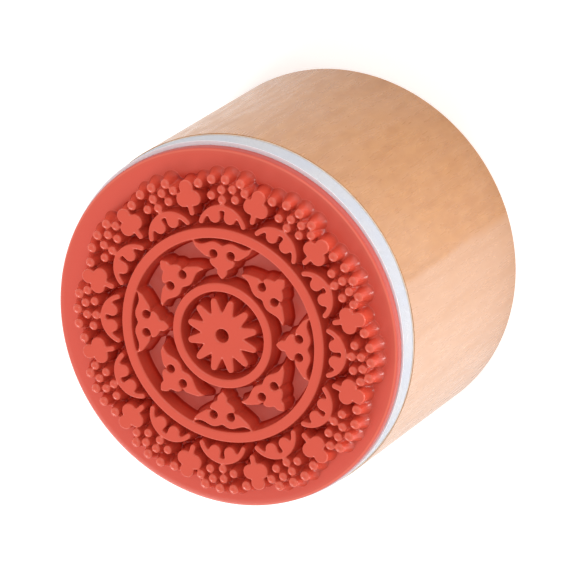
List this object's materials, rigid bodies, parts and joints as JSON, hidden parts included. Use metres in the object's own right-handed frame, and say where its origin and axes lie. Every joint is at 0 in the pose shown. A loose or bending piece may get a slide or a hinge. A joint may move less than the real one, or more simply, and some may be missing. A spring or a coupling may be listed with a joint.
{
  "type": "rubber stamp",
  "caption": "Round wood-mounted rubber stamp: a wooden cylinder, a foam cushion and a moulded die with a deep ornamental mandala relief.",
  "frame": {"origin": "centre of the wooden face that the stamp stands on", "axes": "+Z along the stack, from the wooden face to the printing face; the relief pattern is lined up with X and Y"},
  "size_m": [0.04, 0.04, 0.0314],
  "materials": {
    "wood": "clear satin varnish",
    "adhesive": "thin tacky film",
    "foam": "fine closed-cell foam",
    "die_rubber": "smooth moulded rubber, semi-gloss"
  },
  "bodies": {
    "block": {"wood_block": "wood", "block_adhesive": "adhesive", "foam_cushion": "foam"},
    "die": {"die_adhesive": "adhesive", "rubber_die": "die_rubber"}
  },
  "joints": [
    {"name": "cushion_press", "type": "slide", "parent": "block", "child": "die", "axis": [0, 0, -1], "range_m": [0, 0.0006], "stiffness_N_per_m": 2000, "springref_m": -0.0004, "deforming": ["foam_cushion"]}
  ]
}
